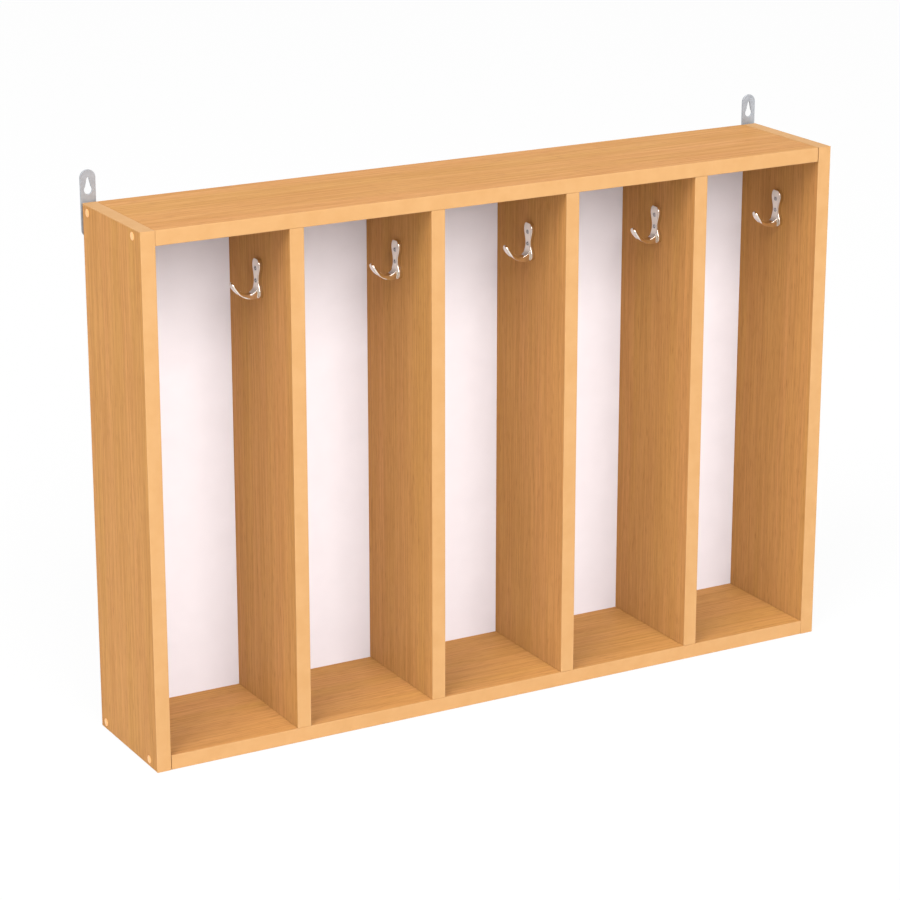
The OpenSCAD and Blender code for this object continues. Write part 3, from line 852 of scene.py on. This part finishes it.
# %% [markdown]
# ## The hanger plates
# Each plate is a strip of sheet steel with round ends. Its upper half stands above the rack and has
# a keyhole that drops over a screw in the wall. Arcs swept by spin make the outlines, straight
# edges join them, a fill closes the flat shape around the holes, and an extrusion gives the sheet
# its thickness. A press leaves a sharp burr that is ground off, which a bevel on the rim shows.

# %% Hanger plates
KEYHOLE_RADIUS = 4.5 * MM
KEYHOLE_RISE = 12.4 * MM
SLOT_LENGTH = 11.7 * MM
SLOT_END_RADIUS = 1.3 * MM
SLOT_HALF_ANGLE = math.radians(47.2)
SCREW_HOLE_RADIUS = 3.5 * MM
PLATE_EASE = 0.2 * MM
PLATE_SMOOTHING = 20
SHARP_RIM = math.radians(60)
END_STEPS = 24
KEYHOLE_STEPS = 32
SLOT_STEPS = 10


def swept_arc(shape, start, centre, angle, steps):
    """A bent row of edges; gives its first and last vertex."""
    first = shape.verts.new(start)
    swept = bmesh.ops.spin(
        shape, geom=[first], cent=centre, axis=(0, 0, 1), angle=angle, steps=steps, use_merge=False
    )
    last = next(item for item in swept["geom_last"] if isinstance(item, bmesh.types.BMVert))
    return first, last


def joined_loop(shape, arcs):
    """Straight edges from the end of each arc to the start of the next."""
    for (_, last), (first, _) in zip(arcs, arcs[1:] + arcs[:1]):
        shape.edges.new((last, first))


def hanger_outline(width, bottom, top, keyhole_y, screw_ys):
    """The flat plate with its holes: x across, y up."""
    shape = bmesh.new()
    end = width / 2
    upper = swept_arc(shape, (end, top - end, 0), (0, top - end, 0), math.pi, END_STEPS)
    lower = swept_arc(shape, (-end, bottom + end, 0), (0, bottom + end, 0), math.pi, END_STEPS)
    joined_loop(shape, [upper, lower])
    keyhole = Vector((0, keyhole_y, 0))
    to_slot = Vector((-math.sin(SLOT_HALF_ANGLE), math.cos(SLOT_HALF_ANGLE), 0)) * KEYHOLE_RADIUS
    round_part = 2 * (math.pi - SLOT_HALF_ANGLE)
    hole = swept_arc(shape, keyhole + to_slot, keyhole, round_part, KEYHOLE_STEPS)
    slot_top = keyhole + Vector((0, SLOT_LENGTH, 0))
    slot_end = slot_top + Vector((SLOT_END_RADIUS, 0, 0))
    slot = swept_arc(shape, slot_end, slot_top, math.pi, SLOT_STEPS)
    joined_loop(shape, [hole, slot])
    for y in screw_ys:
        spot = Matrix.Translation((0, y, 0))
        bmesh.ops.create_circle(shape, segments=RIM_SEGMENTS, radius=SCREW_HOLE_RADIUS, matrix=spot)
    bmesh.ops.triangle_fill(
        shape, edges=shape.edges[:], use_beauty=True, use_dissolve=False, normal=(0, 0, 1)
    )
    return shape


rack_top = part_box("left_side_top_edging")[1].z
for node in HANGERS:
    low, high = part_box(node)
    plate = hanger_outline(
        high.x - low.x,
        low.z,
        high.z,
        rack_top + KEYHOLE_RISE,
        [board_middle - drop for drop in HANGER_SCREW_DROPS],
    )
    thick = bmesh.ops.extrude_face_region(plate, geom=plate.faces[:])["geom"]
    thick = [item for item in thick if isinstance(item, bmesh.types.BMVert)]
    bmesh.ops.translate(plate, vec=(0, 0, high.y - low.y), verts=thick)
    bmesh.ops.recalc_face_normals(plate, faces=plate.faces)
    rim = [edge for edge in plate.edges if edge.calc_face_angle(0.0) > SHARP_RIM]
    ease_edges(plate, rim, PLATE_EASE, segments=2)
    middle_x = (low.x + high.x) / 2
    # The flat plate stands up: its y becomes the height, and its thickness runs from the rear.
    to_wall = Matrix(((1, 0, 0, middle_x), (0, 0, -1, high.y), (0, 1, 0, 0), (0, 0, 0, 1)))
    bmesh.ops.transform(plate, matrix=to_wall, verts=plate.verts)
    stand_for(node, node + "_pressing", plate, [hanger_zinc], PLATE_SMOOTHING)

# %% [markdown]
# ## Screw caps and nails
# Small plastic caps hide the furniture screws in the sides, and short nails hold the back panel.
# Both are turned shapes, so a few points of half a profile are spun round an axis. A full spin
# merges its ends, and the points on the axis are merged after it, so that no seam is left open.

# %% Turned shapes
def turned(profile, steps):
    """Spin a profile of (radius, height) points, in mm, round the z axis."""
    shape = bmesh.new()
    verts = [shape.verts.new((radius * MM, 0, height * MM)) for radius, height in profile]
    edges = [shape.edges.new(pair) for pair in zip(verts, verts[1:])]
    bmesh.ops.spin(
        shape,
        geom=verts + edges,
        cent=(0, 0, 0),
        axis=(0, 0, 1),
        angle=2 * math.pi,
        steps=steps,
        use_merge=True,
    )
    bmesh.ops.remove_doubles(shape, verts=shape.verts, dist=MERGE_WITHIN)
    return shape


CAP_PROFILE = (
    (0, 0),
    (4.2, 0),
    (4.3, 0.1),
    (4.3, 0.35),
    (4.1, 0.46),
    (3.2, 0.68),
    (1.9, 0.89),
    (0.9, 0.97),
    (0, 1),
)
CAP_FROM_FRONT = 20 * MM
CAP_FROM_REAR = 12 * MM
CAP_STEPS = 40
TURNED_SMOOTHING = 30
front_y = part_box("top_panel_edging")[0].y
cap_places = []
for node, direction in (("left_side_panel", -1), ("right_side_panel", 1)):
    low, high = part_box(node)
    outer_x = low.x if direction < 0 else high.x
    for y in (front_y + CAP_FROM_FRONT, high.y - CAP_FROM_REAR):
        for panel in LEVEL_BOARDS:
            panel_low, panel_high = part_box(panel)
            centre = Vector((outer_x, y, (panel_low.z + panel_high.z) / 2))
            cap_places.append(facing((direction, 0, 0), centre))
caps = copies(turned(CAP_PROFILE, CAP_STEPS), cap_places)
stand_for("screw_caps", "screw_cap_set", caps, [cap_plastic], TURNED_SMOOTHING)

# %% Nails
NAIL_PROFILE = (
    (0, 0.8),
    (1.5, 0.8),
    (1.9, 0.66),
    (2.0, 0.4),
    (1.9, 0),
    (0.8, 0),
    (0.8, -18.4),
    (0, -20),
)
NAIL_ROW = 5
NAIL_MARGIN = 30 * MM
NAIL_STEPS = 16


def spread(first, last, count):
    """Evenly spaced values from first to last."""
    return [first + (last - first) * step / (count - 1) for step in range(count)]


rear_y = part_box("back_panel")[1].y
hanger_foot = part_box("left_hanger_plate")[0].z
bottom_low, bottom_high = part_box("bottom_panel")
top_low, top_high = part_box("top_panel")
side_heights = spread(NAIL_MARGIN, hanger_foot - NAIL_MARGIN, NAIL_ROW)
divider_heights = spread(bottom_high.z + NAIL_MARGIN, top_low.z - NAIL_MARGIN, NAIL_ROW)
nail_points = []
upright_middles = []
for node in UPRIGHT_BOARDS:
    low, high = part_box(node)
    middle_x = (low.x + high.x) / 2
    upright_middles.append(middle_x)
    heights = divider_heights if node.startswith("divider") else side_heights
    nail_points += [(middle_x, rear_y, height) for height in heights]
upright_middles.sort()
bay_middles = [(left + right) / 2 for left, right in zip(upright_middles, upright_middles[1:])]
for panel_low, panel_high in ((bottom_low, bottom_high), (top_low, top_high)):
    nail_points += [(x, rear_y, (panel_low.z + panel_high.z) / 2) for x in bay_middles]
nail_places = [facing((0, 1, 0), point) for point in nail_points]
nails = copies(turned(NAIL_PROFILE, NAIL_STEPS), nail_places)
stand_for(
    "back_panel_nails", "back_panel_nail_set", nails, [nail_steel], TURNED_SMOOTHING
)
print("caps:", len(cap_places), "nails:", len(nail_places))

# %% [markdown]
# ## What stays as it is
# The furniture screws and the dowels sit inside the boards and their CAD shapes are right, so they
# only get a finish on the CAD objects' own material slots.

# %% Finishes for the hidden joints
hidden_joints = (
    ("furniture_screws", screw_steel, "screw_steel"),
    ("divider_dowels", dowel_wood, "dowel_wood"),
)
for node, finish, slot_name in hidden_joints:
    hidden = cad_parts[node]
    hidden.data.materials.clear()
    hidden.data.materials.append(finish)
    print(node, "keeps its CAD shape, finish", slot_name)
